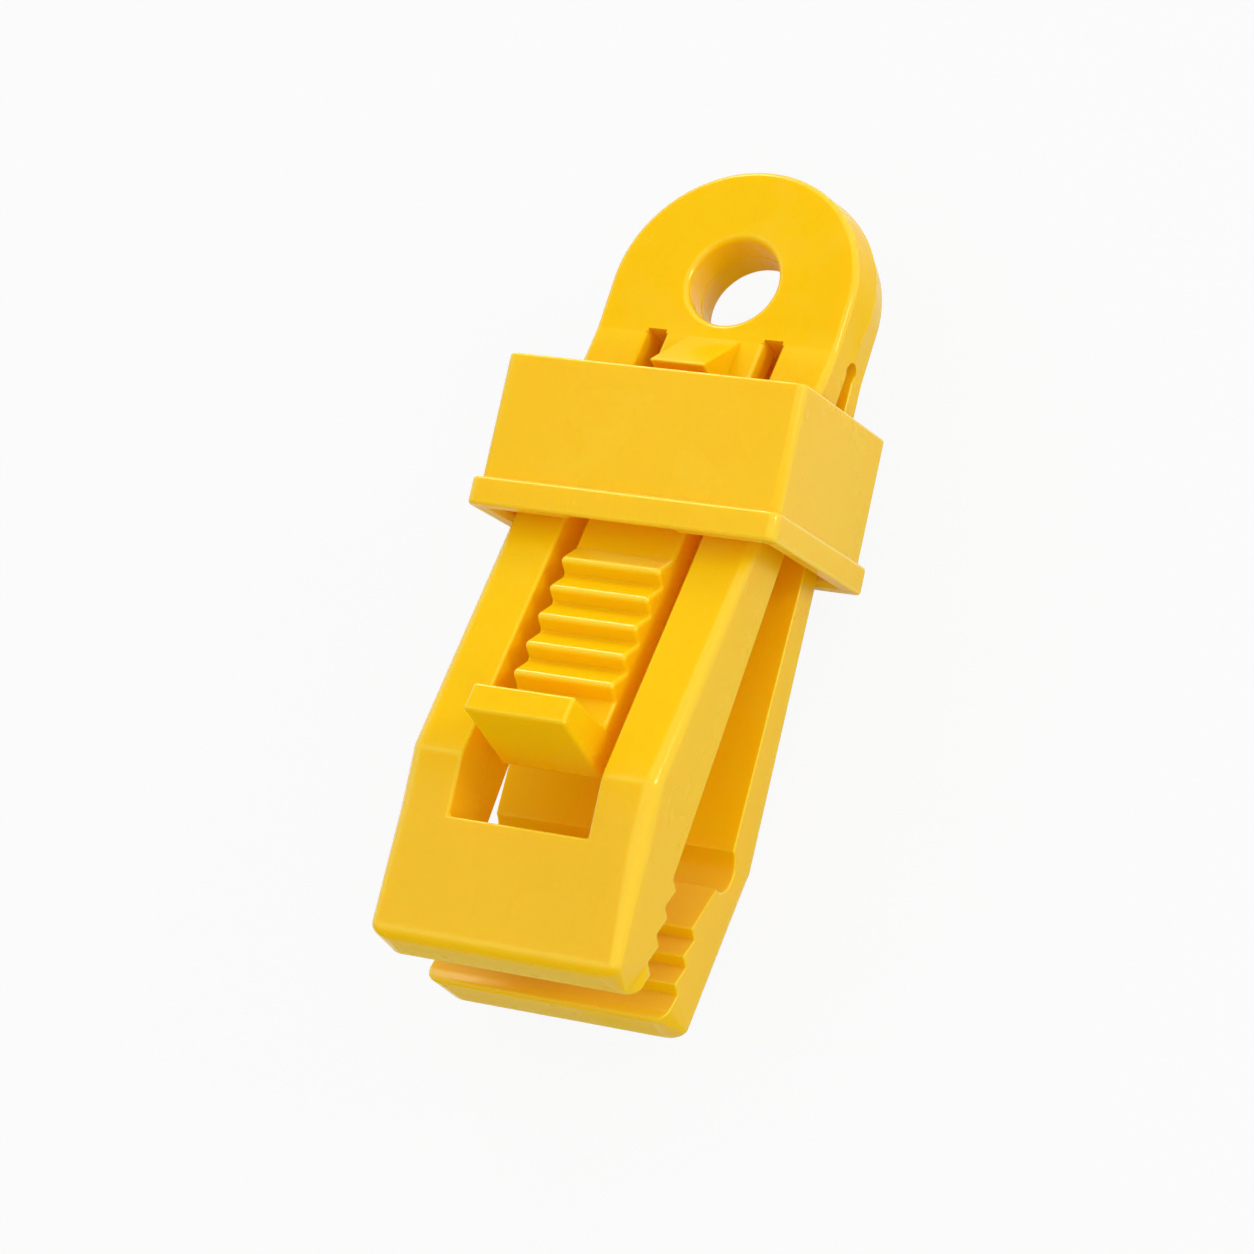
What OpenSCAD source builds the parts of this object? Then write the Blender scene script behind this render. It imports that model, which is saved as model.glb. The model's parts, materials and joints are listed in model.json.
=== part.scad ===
// Tarp clip: a moulded body with an eyelet, two springy jaws and a ratchet tongue,
// and a loose collar that slides down the arms to close the jaws.
// Every side profile is drawn in the Y-Z plane: Y runs up to the eyelet, Z out of the
// front face, and the middle of the head's half round top is 0, 0.

/* [Eyelet head] */
// Width of the moulded body across its side faces
body_w = 26.2; // [22:0.2:30]
// Thickness of the eyelet head
head_t = 7.6; // [6:0.1:10]
// Diameter of the eyelet hole
hole_d = 9.3; // [6:0.1:10]
// Rounding of the hole's two rims
hole_rim_r = 0.65; // [0.2:0.05:0.8]
// Rounding of the head's outer rims
head_edge_r = 0.7; // [0.5:0.1:2]
// Height of the eyelet's centre above the centre of the head's half round top
hole_rise = 0.8; // [0:0.1:1.2]
// Distance from the middle of the round top down to the crease where the arms start
crease_drop = 5.5; // [5.2:0.1:9]
// Rise of the slots beside the tongue into the head, above the crease
slot_rise = 0.4; // [0.1:0.1:0.6]

/* [Flexing roots] */
// Radius of the round end where an arm turns on the head
root_r = 5.5; // [4.5:0.1:7]
// Distance of each turning axis from the mid plane
root_z = 1.5; // [1:0.1:2]
// Gap between the head and the round ends
root_gap = 0.12; // [0.05:0.01:0.3]
// Diameter of the round end of the slit between the arms
slit_d = 2; // [1.6:0.1:2.6]
// Distance from the middle of the round top down to the top of the slit
slit_drop = 4.7; // [4.4:0.1:7]

/* [Arms] */
// Angle at which both outer faces flare out from the mid plane
flare = 9.9; // [8:0.1:11]
// Length of an arm from the crease to the knee
arm_len = 48.6; // [44:0.2:56]
// Rounding of the arms' outer side edges above the knee
arm_edge_r = 0.5; // [0.3:0.1:1.6]
// Angle at which the outer faces come back in below the knee
taper = 11; // [6:0.5:14]
// Length of a jaw from the knee to the tip
jaw_len = 17.7; // [15:0.1:22]
// Distance of the front arm's inner face from the mid plane at its root
front_root_in = 0.25; // [0.1:0.05:0.6]
// Angle of the front arm's inner face
front_in_angle = 3.5; // [2:0.1:4.5]
// Distance of the rear arm's inner face from the mid plane at its root
rear_root_in = 1.2; // [0.8:0.1:1.6]
// Angle of the rear arm's inner face
rear_in_angle = 6.4; // [5.5:0.1:7]

/* [Grip pads] */
// Height of the front pad below the window
pad_h = 11.9; // [10.5:0.1:14]
// Width of the window in the front jaw
window_w = 14.6; // [13:0.2:18]
// Distance between two gripping teeth
grip_pitch = 2.75; // [2.4:0.05:3]
// Depth of the gripping teeth
grip_depth = 1.2; // [0.6:0.1:1.4]
// Number of gripping teeth on the front pad
grip_count = 4; // [3:1:4]
// Distance from the tip to the front pad's last tooth
grip_end = 2.8; // [2.2:0.1:3]
// Share of a tooth's pitch taken by its steep side
grip_steep = 0.25; // [0.15:0.05:0.4]
// Distance of the front teeth's tips from the mid plane
front_tips = 2.3; // [1.8:0.1:2.6]
// Distance of the rear teeth's tips from the mid plane
rear_tips = 3; // [2.6:0.1:3.6]
// Radius of the groove across the rear jaw
groove_r = 2.2; // [1.4:0.1:2.6]
// Depth of that groove below the rear arm's inner face
groove_depth = 1.2; // [0.6:0.1:1.6]
// Height of the step from the groove up to the rear jaw's first tooth
step_h = 1.7; // [1:0.1:2]
// Rounding of the jaws' outer side edges below the knee
pad_edge_r = 1.8; // [0.6:0.1:2.4]
// Rounding of the jaws' end edges
tip_r = 1.3; // [0.4:0.1:1.6]
// Rounding of the rear jaw's end edge at its inner face
rear_tip_r = 0.4; // [0.2:0.1:1.3]

/* [Ratchet tongue] */
// Width of the tongue
tongue_w = 10.6; // [8:0.2:12]
// Thickness of the tongue
tongue_t = 3.1; // [2.4:0.1:3.2]
// Angle of the tongue's front face from the mid plane
tongue_flare = 8.8; // [8:0.1:10]
// Distance from the crease down to the first tooth
rack_drop = 25; // [24:0.1:28]
// Distance between two ratchet teeth
rack_pitch = 3.14; // [2.6:0.02:3.4]
// Number of ratchet teeth
rack_count = 5; // [3:1:5]
// Height of the ratchet teeth above the tongue
rack_h = 2; // [1.2:0.1:2.1]
// Depth of the rack's base below the tongue's front face
rack_base = 0.6; // [0.3:0.1:1]
// Share of a ratchet tooth's pitch taken by its steep underside
rack_steep = 0.28; // [0.15:0.01:0.4]
// Reach of the thumb tab from the tongue's front face
tab_reach = 7.2; // [5:0.1:9]
// Thickness of the thumb tab at its end
tab_t = 2.9; // [2:0.1:4]
// Extra thickness of the thumb tab at its foot
tab_foot = 1.3; // [0.4:0.1:2]
// Gap between the last ratchet tooth and the thumb tab
tab_gap = 2.8; // [1:0.1:4]
// Width of the wedge that stops the collar
wedge_w = 5.8; // [4:0.2:8]
// Length of the wedge's ramp along the clip
wedge_len = 5.6; // [4:0.1:6]
// Height of the wedge above the tongue
wedge_h = 5; // [3:0.1:5.4]
// Slope of the wedge's underside along the clip
wedge_under = 0.9; // [0.4:0.1:1.4]

/* [Collar] */
// Angle of the collar to the mid plane, lying along the rear arm
collar_tilt = 11; // [10.4:0.1:12]
// Distance from the crease down to the collar's bottom edge on the rear arm
collar_drop = 19.6; // [18:0.1:21]
// Clearance between the collar and the rear arm at its bottom edge
back_clear = 0.5; // [0.4:0.05:0.8]
// Clearance between the collar and the front rails at its bottom edge
front_clear = 1.2; // [1.1:0.05:2]
// Clearance between the collar and the body's side faces
side_clear = 1.4; // [0.4:0.1:2]
// Thickness of the collar's walls
collar_wall = 1.4; // [1.2:0.1:2]
// Height of the collar above its flange
sleeve_h = 12.6; // [10:0.1:14]
// Height of the flange
flange_h = 2.75; // [2:0.05:3.5]
// Overhang of the flange past the front and back walls
flange_out = 0.9; // [0.8:0.1:1.5]
// Overhang of the flange past the side walls
flange_side = 0.5; // [0.3:0.1:1.5]
// Rounding of the collar's two front corner edges
collar_r = 1; // [0.6:0.1:2.4]
// Rounding of the collar's two rear corner edges
collar_rear_r = 0.4; // [0.3:0.1:1.2]
// Bevel inside the collar's bottom edge
lead_in = 0.5; // [0.2:0.1:0.8]
// Depth at the bottom of the channel that lets the ratchet teeth pass
channel_depth = 1.7; // [1.4:0.05:1.8]
// Height of that channel in the front wall
channel_h = 5.2; // [4:0.1:6]
// Clearance of the channel beside the tongue
channel_side = 0.6; // [0.3:0.1:1]
// Depth of the pawl rib at the channel's bottom
pawl_depth = 0.35; // [0.2:0.05:0.5]
// Height of the pawl rib
pawl_h = 1; // [0.6:0.1:1.6]

/* [Hidden] */
$fn = 64;
past = 1;              // how far a cut runs past the face that it opens
skin = 0.02;           // how far a rounding's own flats stand off the faces beside it
bite = 0.04;           // how far the groove's round floor cuts into the step beside it
arc_steps = 6;         // straight steps in a rounded corner of a profile
least_inner_r = 0.3;   // smallest rounding inside the collar
half_w = body_w / 2;
half_t = head_t / 2;

// Heights of the main lines along the clip, all below the middle of the round top
crease_y = -crease_drop;
root_y = crease_y - sqrt(root_r * root_r - pow(half_t - root_z, 2));
knee_y = crease_y - arm_len;
tip_y = knee_y - jaw_len;
window_y = tip_y + pad_h;
knee_z = half_t + arm_len * tan(flare);
far = 4 * knee_z;      // reach of a cut that runs right through the clip
slit_y = -slit_drop - slit_d / 2;
slit_z = (front_root_in - rear_root_in) / 2;

// The clip's box: it lies on its rear knee, with its middle over the origin
shift_y = -(half_w + tip_y) / 2;
shift_z = knee_z;

rail_w = (body_w - window_w) / 2;

function outer_z(y) = y > knee_y ? half_t + (crease_y - y) * tan(flare) : knee_z - (knee_y - y) * tan(taper);
function front_in(y) = front_root_in + (crease_y - y) * tan(front_in_angle);
function rear_in(y) = -rear_root_in - (crease_y - y) * tan(rear_in_angle);
function unit(v) = v / norm(v);
function tongue_z(y) = half_t + (crease_y - y) * tan(tongue_flare);

// Points of an arc of radius r that rounds corner b between points a and c
function corner(a, b, c, r) =
    let (u = unit(a - b), w = unit(c - b), half = acos(u * w) / 2, turn = 180 - 2 * half)
    let (o = b + unit(u + w) * r / sin(half), v0 = b + u * r / tan(half) - o, v1 = b + w * r / tan(half) - o)
    [for (s = [0:1 / arc_steps:1]) o + (sin(turn * (1 - s)) * v0 + sin(turn * s) * v1) / sin(turn)];

// Gripping teeth of both pads, from the last tooth up
front_tip_y = [for (i = [0:grip_count - 1]) tip_y + grip_end + (grip_count - 1 - i) * grip_pitch];
rear_shift = grip_steep * grip_pitch / 2;
rear_tip_y = [for (y = front_tip_y) y - grip_pitch * (1 - grip_steep) + rear_shift];
groove_y = front_tip_y[0] + 2 * groove_r + past;
step_y = groove_y - groove_r + bite;
arm_end = groove_y + groove_r;
rear_knee = [knee_y, -knee_z];

// Ratchet and thumb tab
rack_y = crease_y - rack_drop;
rack_end = rack_y - rack_count * rack_pitch;
tab_y = rack_end - tab_gap;
tab_end = tab_y - tab_t - tab_foot;

// The collar's own frame: v runs up along the collar, u out towards its front wall
collar_y = crease_y - collar_drop;
collar_z = -outer_z(collar_y) - back_clear;
rail_top = half_t + (crease_y - collar_y) * tan(flare);
collar_in = (rail_top + front_clear - collar_z) / (cos(collar_tilt) - sin(collar_tilt) * tan(flare));
collar_in_w = body_w + 2 * side_clear;
collar_h = sleeve_h + flange_h;
channel_w = tongue_w + 2 * channel_side;

// Places the clip's own frame over the origin
module place() {
    translate([0, shift_y, shift_z]) children();
}

// Extrudes a side profile across the clip, w wide and centred on x
module side(w, x = 0) {
    translate([x, 0, 0]) rotate([90, 0, 90]) linear_extrude(w, center = true) children();
}

// The collar's frame, at the inside of its bottom edge on the rear arm
module collar_place() {
    place() translate([0, collar_y, collar_z]) rotate([collar_tilt, 0, 0]) children();
}

// Rectangle with round corners, of radius r above and low_r below
module round_rect(w, h, r, low_r) {
    translate([r - w / 2, 0]) square([w - 2 * r, h / 2]);
    translate([low_r - w / 2, -h / 2]) square([w - 2 * low_r, h / 2]);
    translate([-w / 2, low_r - h / 2]) square([w, h - r - low_r]);
    for (x = [-1, 1]) {
        translate([x * (w / 2 - r), h / 2 - r]) circle(r);
        translate([x * (w / 2 - low_r), low_r - h / 2]) circle(low_r);
    }
}

// Everything below the round end that turns at height z
module below_root(z) {
    translate([root_y, z]) circle(root_r);
    translate([tip_y - past, -far / 2]) square([root_y - tip_y + past, far]);
}

// Space under an outer face through y, z at the given angle, with its side edges rounded by r
module under_face(y, z, angle, r) {
    reach = 2 * (arm_len + jaw_len);
    w = half_w + skin;
    translate([0, y, z]) rotate([90 + angle, 0, 0]) linear_extrude(reach, center = true)
        translate([0, skin]) {
            translate([-w, -far]) square([2 * w, far - r]);
            translate([r - w, -far / 2]) square([2 * (w - r), far / 2]);
            for (x = [-1, 1]) translate([x * (w - r), -r]) circle(r);
        }
}

// Rounds the outer side edges of a front jaw piece, above and below the knee
module round_edges() {
    intersection() {
        children();
        under_face(crease_y, half_t, -flare, arm_edge_r);
        under_face(knee_y, knee_z, taper, pad_edge_r);
    }
}

// The round end of the slit between the two arms
module slit_bulb() {
    translate([slit_y, slit_z]) circle(d = slit_d);
}

// Head: a straight block and a half round top, both with rounded rims
module eyelet_head() {
    head_end = root_y + root_r - past;
    color("#fcc914") place() difference() {
        union() {
            rotate_extrude(angle = 180) intersection() {
                round_rect(body_w, head_t, head_edge_r, head_edge_r);
                translate([0, -half_t]) square([half_w, head_t]);
            }
            translate([0, head_end, 0]) rotate([-90, 0, 0]) linear_extrude(-head_end)
                round_rect(body_w, head_t, head_edge_r, head_edge_r);
        }
        translate([0, hole_rise, 0]) {
            cylinder(h = head_t + 2 * past, d = hole_d, center = true);
            for (m = [0, 1]) mirror([0, 0, m]) translate([0, 0, half_t]) hole_rim();
        }
        side(body_w + 2 * past) {
            for (z = [-root_z, root_z]) translate([root_y, z]) circle(root_r + root_gap);
            slit_bulb();
        }
        for (x = [-1, 1]) side((window_w - tongue_w) / 2, x * (window_w + tongue_w) / 4)
            translate([crease_y - past, root_z]) square([slot_rise + past, half_t - root_z + past]);
    }
}

// Ring cut away to round one rim of the hole
module hole_rim() {
    ring_r = hole_d / 2 + hole_rim_r;
    rotate_extrude() difference() {
        translate([0, -hole_rim_r]) square([ring_r, hole_rim_r + past]);
        translate([ring_r, -hole_rim_r]) circle(hole_rim_r);
    }
}

// One rail of the front jaw, beside the window
module front_rail(x) {
    place() round_edges() side(rail_w, x * (half_w - rail_w / 2)) intersection() {
        difference() {
            polygon([
                [0, outer_z(0)], [knee_y, knee_z], [window_y, outer_z(window_y)],
                [window_y, front_in(window_y)], [0, front_in(0)]
            ]);
            slit_bulb();
        }
        below_root(root_z);
    }
}

module front_left_rail() {
    color("#fcc914") front_rail(-1);
}

module front_right_rail() {
    color("#fcc914") front_rail(1);
}

// Pad below the window, with saw teeth on its inner face
module front_grip() {
    out_top = [window_y, outer_z(window_y)];
    out_end = [tip_y, outer_z(tip_y)];
    in_end = [tip_y, front_tips + grip_depth];
    last_tooth = [front_tip_y[grip_count - 1], front_tips];
    color("#f5c532") place() round_edges() side(body_w) polygon(concat(
        [out_top], corner(out_top, out_end, in_end, tip_r), corner(out_end, in_end, last_tooth, tip_r),
        [last_tooth],
        [for (i = [grip_count - 2:-1:0]) each [
            [front_tip_y[i] - grip_pitch * (1 - grip_steep), front_tips + grip_depth],
            [front_tip_y[i], front_tips]
        ]],
        [[front_tip_y[0] + grip_pitch * grip_steep, front_in(window_y)], [window_y, front_in(window_y)]]
    ));
}

// Plain upper part of the rear jaw
module rear_arm() {
    color("#f2b90f") place() mirror([0, 0, 1]) round_edges() mirror([0, 0, 1]) side(body_w) intersection() {
        difference() {
            polygon(concat(
                [[0, -outer_z(0)]], arm_end < knee_y ? [rear_knee] : [],
                [[arm_end, -outer_z(arm_end)], [arm_end, rear_in(arm_end)], [0, rear_in(0)]]
            ));
            slit_bulb();
        }
        below_root(-root_z);
    }
}

// Toothed end of the rear jaw, with a round groove above its teeth
module rear_grip() {
    out_end = [tip_y, -outer_z(tip_y)];
    in_end = [tip_y, -rear_tips];
    last_valley = [rear_tip_y[grip_count - 2] - grip_pitch * grip_steep, -rear_tips - grip_depth];
    groove_z = rear_in(groove_y) + groove_r - groove_depth;
    lip_z = rear_in(step_y) + step_h;
    foot_z = min(groove_z, lip_z - skin);
    color("#f2b90f") place() mirror([0, 0, 1]) round_edges() mirror([0, 0, 1]) side(body_w) difference() {
        polygon(concat(
            [[arm_end, -outer_z(arm_end)]], arm_end > knee_y ? [rear_knee] : [],
            corner(rear_knee, out_end, in_end, tip_r), corner(out_end, in_end, last_valley, rear_tip_r),
            [for (i = [grip_count - 2:-1:0]) each [
                [rear_tip_y[i] - grip_pitch * grip_steep, -rear_tips - grip_depth],
                [rear_tip_y[i], -rear_tips]
            ]],
            [[step_y, lip_z], [step_y, foot_z], [groove_y, foot_z], [groove_y, rear_in(groove_y)]],
            [[arm_end, rear_in(arm_end)]]
        ));
        translate([groove_y, groove_z]) circle(groove_r);
    }
}

// Springy strip between the rails, from the crease to the thumb tab
module ratchet_tongue() {
    color("#f7c41a") place() side(tongue_w) intersection() {
        difference() {
            polygon([
                [0, tongue_z(0)], [rack_y, tongue_z(rack_y)], [rack_y, tongue_z(rack_y) - rack_base],
                [rack_end, tongue_z(rack_end) - rack_base], [rack_end, tongue_z(rack_end)],
                [tab_y, tongue_z(tab_y)], [tab_y, tongue_z(tab_y) - tongue_t], [0, tongue_z(0) - tongue_t]
            ]);
            slit_bulb();
        }
        below_root(root_z);
    }
}

// Ratchet teeth: a long ramp towards the eyelet and a steep underside
module ratchet_rack() {
    color("#fccb1c") place() side(tongue_w) polygon(concat(
        [[rack_end, tongue_z(rack_end) - rack_base], [rack_y, tongue_z(rack_y) - rack_base]],
        [[rack_y, tongue_z(rack_y)]],
        [for (i = [0:rack_count - 1]) each [
            let (y = rack_y - (i + 1 - rack_steep) * rack_pitch) [y, tongue_z(y) + rack_h],
            [rack_y - (i + 1) * rack_pitch, tongue_z(rack_y - (i + 1) * rack_pitch)]
        ]]
    ));
}

// Tab that a thumb presses to free the ratchet, at the tongue's end
module thumb_tab() {
    tab_top = tongue_z(tab_y) + tab_reach;
    color("#fcd02a") place() side(tongue_w) polygon([
        [tab_y, tongue_z(tab_y) - tongue_t], [tab_y, tab_top],
        [tab_y - tab_t, tab_top + tab_t * tan(tongue_flare)],
        [tab_end, tongue_z(tab_end) - tongue_t]
    ]);
}

// Wedge near the tongue's root that keeps the collar from coming off over the eyelet
module stop_wedge() {
    wedge_y = crease_y - wedge_len;
    foot_y = wedge_y - wedge_under;
    color("#fccb1c") place() side(wedge_w) polygon([
        [crease_y, tongue_z(crease_y)], [wedge_y, tongue_z(wedge_y) + wedge_h],
        [foot_y, tongue_z(foot_y)]
    ]);
}

// Outline of the collar grown by the given amounts, over its own inside
module collar_outline(grow_x, grow_z, r, rear_r) {
    translate([0, collar_in / 2]) round_rect(collar_in_w + 2 * grow_x, collar_in + 2 * grow_z, r, rear_r);
}

// Extrudes an outline up the collar from height v
module collar_extrude(v, h) {
    translate([0, v, 0]) rotate([-90, 0, 0]) linear_extrude(h) mirror([0, 1]) children();
}

// The inside of the collar, with its bevelled bottom edge and the ratchet's channel
module collar_inside() {
    inner_r = max(collar_r - collar_wall, least_inner_r);
    collar_extrude(-past, collar_h + 2 * past) collar_outline(0, 0, inner_r, least_inner_r);
    side(collar_in_w) polygon([
        [-past, -lead_in - past], [lead_in, 0], [lead_in, collar_in], [-past, collar_in + lead_in + past]
    ]);
    side(channel_w) polygon([
        [-past, collar_in - past], [-past, collar_in + channel_depth], [0, collar_in + channel_depth],
        [channel_h, collar_in], [channel_h, collar_in - past]
    ]);
}

module collar_sleeve() {
    color("#f9c51e") collar_place() difference() {
        collar_extrude(flange_h, sleeve_h) collar_outline(collar_wall, collar_wall, collar_r, collar_rear_r);
        collar_inside();
    }
}

module collar_flange() {
    color("#f9c51e") collar_place() difference() {
        collar_extrude(0, flange_h)
            collar_outline(collar_wall + flange_side, collar_wall + flange_out, collar_r, collar_rear_r);
        collar_inside();
    }
}

// Rib at the foot of the channel, over which the ratchet teeth pass
module collar_pawl() {
    floor_bottom = collar_in + channel_depth;
    floor_top = floor_bottom - channel_depth * pawl_h / channel_h;
    color("#f9c51e") collar_place() side(channel_w) polygon([
        [0, floor_bottom], [pawl_h, floor_top],
        [pawl_h, floor_bottom - channel_depth * pawl_h / channel_h - pawl_depth / 2],
        [0, floor_bottom - pawl_depth]
    ]);
}

eyelet_head();
front_left_rail();
front_right_rail();
front_grip();
rear_arm();
rear_grip();
ratchet_tongue();
ratchet_rack();
thumb_tab();
stop_wedge();
collar_sleeve();
collar_flange();
collar_pawl();
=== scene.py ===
"""Looks of the tarp clip: its mouldings with rounded edges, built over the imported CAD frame."""

import json
from math import acos, ceil, cos, degrees, inf, pi, radians, sin, sqrt, tan

import bmesh
import bpy
from mathutils import Matrix, Vector
from mathutils.geometry import delaunay_2d_cdt

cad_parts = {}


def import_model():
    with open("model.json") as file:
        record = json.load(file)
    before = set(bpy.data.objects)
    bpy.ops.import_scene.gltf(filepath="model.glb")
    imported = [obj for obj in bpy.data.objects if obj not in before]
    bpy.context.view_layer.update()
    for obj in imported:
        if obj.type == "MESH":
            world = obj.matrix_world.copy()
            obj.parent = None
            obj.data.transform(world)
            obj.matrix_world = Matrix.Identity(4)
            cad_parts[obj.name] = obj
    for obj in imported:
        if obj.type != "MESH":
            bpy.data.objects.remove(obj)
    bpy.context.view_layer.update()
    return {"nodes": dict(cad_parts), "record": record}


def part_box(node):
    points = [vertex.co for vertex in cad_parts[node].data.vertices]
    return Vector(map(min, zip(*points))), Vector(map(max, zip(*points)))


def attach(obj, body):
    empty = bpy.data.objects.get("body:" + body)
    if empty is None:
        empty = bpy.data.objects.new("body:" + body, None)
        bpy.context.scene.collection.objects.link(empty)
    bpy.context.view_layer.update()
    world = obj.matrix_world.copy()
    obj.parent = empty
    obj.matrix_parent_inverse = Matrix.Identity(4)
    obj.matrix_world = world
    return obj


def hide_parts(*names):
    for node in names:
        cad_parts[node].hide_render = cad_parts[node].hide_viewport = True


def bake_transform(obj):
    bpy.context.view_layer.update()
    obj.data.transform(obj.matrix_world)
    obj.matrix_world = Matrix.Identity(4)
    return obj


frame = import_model()

# Units and tolerances
MM = 0.001
TOL = 2e-6                  # two points nearer than this are one point
WELD = TOL / 4              # cut points nearer than this are welded
ON_PLANE = TOL / 20         # points nearer than this to a cutting plane lie on it
FLAT = 2e-7                 # a point this near to its neighbours' line adds nothing
NO_ARC = 1e-6               # arcs that start nearer than this to their corner are left out
TINY = 1e-12                # stands in for a length of nothing in a division
SLACK = 0.001               # share of a step that an edge may be too long by

# Roundings of the mouldings' edges
ARM_EDGE = 0.5 * MM         # arms' outer side edges above the knee
PAD_EDGE = 1.8 * MM         # jaws' outer side edges below the knee
TIP_EDGE = 1.0 * MM         # side edges where the jaws end
TIP_CORNER = 1.5 * MM       # corners of the jaws' ends, seen from the front
HEAD_EDGE = 0.7 * MM        # head's outer rims
INNER_EDGE = 0.18 * MM      # side edges of the arms' inner faces
TOOTH_EDGE = 0.15 * MM      # side edges of the gripping teeth
TOOTH_TIP = 0.2 * MM        # tips and roots of the gripping teeth
TONGUE_EDGE = 0.4 * MM      # side edges of the tongue
RACK_TIP = 0.5 * MM         # tips of the ratchet teeth
RACK_ROOT = 0.25 * MM       # hollows between them
TAB_EDGE = 0.4 * MM         # edges of the thumb tab
WEDGE_EDGE = 0.2 * MM       # edges of the wedge
COLLAR_FRONT = 1.0 * MM     # the collar's front corner edges
COLLAR_REAR = 0.4 * MM      # the collar's rear corner edges
COLLAR_INSIDE = 0.3 * MM    # the collar's four corners inside
COLLAR_TOP = 0.3 * MM       # the collar's upper rims
FLANGE_EDGE = 0.35 * MM     # edges of the flange and of the channel
WINDOW_EDGE = 0.35 * MM     # edges of the window and of the slots beside the tongue
KNEE = 3.0 * MM             # bend of the jaws' outer faces
KNEE_NEAR = 1.0 * MM        # corners this near to the knee's height belong to it
KNEE_TURN = 30              # most degrees that the knee turns
LEAST_TURN = 18             # corners that turn fewer degrees stay as they are

# Small forms of the moulds
WEDGE_SUNK = 0.6 * MM       # how far the wedge's two feet reach on into the tongue
ROOT_LENGTH = 1.5 * MM      # how far the tongue's root reaches below the wedge, into the collar
RIDGE = 0.06 * MM           # height and half width of the mould's parting ridge
CROWN = 0.55 * MM           # how far the head's wall leans out from its rims to that ridge
HOLE_DRAFT = 0.4 * MM       # how much the eyelet widens from its middle to the rear rim
REAR_LEAN = 0.5 * MM        # how far the rear jaw's left side leans in towards its tip

# Stretches that bend, measured down from where they start
ARM_FINE = 22 * MM          # finely stepped stretch of an arm
TONGUE_FINE = 16 * MM       # finely stepped stretch of the tongue

# Steps of the meshes
TURNS = 5                   # steps in a rounded side edge
ARC_STEP = 16               # degrees of a rounded corner in one step
BEND_STEP = 2.5 * MM        # longest step where an arm or the tongue bends
ROOT_STEP = 1.5 * MM        # longest step of the tongue's root
HEAD_STEPS = 72             # steps in the head's half round
HOLE_STEPS = 96             # steps round the eyelet
SLIT_STEPS = 48             # steps round the end of the slit
COLLAR_TURNS = 7            # steps in a corner of the collar
WINDOW_TURNS = 3            # steps in the edges of window and slots
ROUND_PROFILE = 0.5         # Blender's value for a bevel with a round profile
FLOOR_STEPS = 96            # steps round the floor

# Limits of the roundings
CORNER_ROOM = 0.46          # share of an edge that the arc at one of its ends may take
STRAIGHT = 0.6 * MM         # longer edges of an outline are straight, shorter ones may be steps of an arc
MITRE = 0.5                 # smallest divisor at a sharp corner, which keeps its inset short
CUT_MITRE = 0.3             # the same where a slanted edge meets a cut
SLIGHT_TURN = 0.02          # sine of a turn that is too slight to limit a side rounding
ROUND_SHARE = 0.8           # most of a corner's radius that the side rounding along it may take
ACROSS = (0.9, 1), (-0.2, 0)    # share of the outer rounding from a jaw's outer face, 1, to the inner, -1

# Shading of the meshes
SHARP = radians(35)         # edges that turn more than this look sharp
NORMAL_WEIGHT = 80          # how strongly large faces lead the shading
FACE_LEAD = "__mod_weightednormals_faceweight"    # Blender's own layer of faces that lead the shading
LEADS = 16384               # value in that layer of a face that leads
CUT_INSIDE = 1              # kind of triangulation that keeps inside the outline
CUT_TOL = 1e-5              # its tolerance in millimetres
STRIP = 0.7 * MM            # faces wider than this are flat faces, not steps of a rounded edge
BULGE = 0.1                 # vertices that stand out more than this from their neighbours are on an edge
EDGE_SHARE = "edge_share"   # vertex layer: 1 on rounded edges, 0 elsewhere


# Outlines read from the frame

def edges(loop):
    """Pairs of neighbouring points round a loop."""
    return list(zip(loop, loop[1:] + loop[:1]))


def corners(loop):
    """Each point of a loop between the one before and the one after it."""
    return list(zip(loop[-1:] + loop[:-1], loop, loop[1:] + loop[:1]))


def section(node, x):
    """Closed outlines (y, z) of a CAD node where the plane X = x cuts it, each anticlockwise."""
    bm = bmesh.new()
    bm.from_mesh(frame["nodes"][node].data)
    bmesh.ops.remove_doubles(bm, verts=bm.verts, dist=WELD)
    everything = bm.verts[:] + bm.edges[:] + bm.faces[:]
    bmesh.ops.bisect_plane(bm, geom=everything, dist=ON_PLANE, plane_co=(x, 0, 0), plane_no=(1, 0, 0),
                           clear_inner=True, clear_outer=True)
    bmesh.ops.remove_doubles(bm, verts=bm.verts, dist=WELD)
    loops, left = [], set(bm.verts)
    while left:
        here = min(left, key=lambda v: (v.co.y, v.co.z))
        loop = []
        while here in left:
            left.discard(here)
            loop.append(Vector((here.co.y, here.co.z)))
            onward = [v for v in (e.other_vert(here) for e in here.link_edges) if v in left]
            here = onward[0] if onward else here
        if len(loop) > 2:
            loops.append(anticlockwise(simple(loop)))
    bm.free()
    return loops


def area(loop):
    return sum(a.cross(b) for a, b in edges(loop)) / 2


def anticlockwise(loop):
    return loop if area(loop) > 0 else loop[::-1]


def off_line(p, a, b):
    """Distance of p from the line through a and b."""
    along = b - a
    return abs(along.cross(p - a)) / max(along.length, TINY)


def simple(loop):
    """The loop without points that lie on the line between their neighbours."""
    kept = list(loop)
    i = 0
    while i < len(kept) and len(kept) > 3:
        a, p, b = kept[i - 1], kept[i], kept[(i + 1) % len(kept)]
        if (p - a).length < TOL / 2 or off_line(p, a, b) < FLAT:
            kept.pop(i)
            i = max(i - 1, 0)
        else:
            i += 1
    return kept


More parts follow.
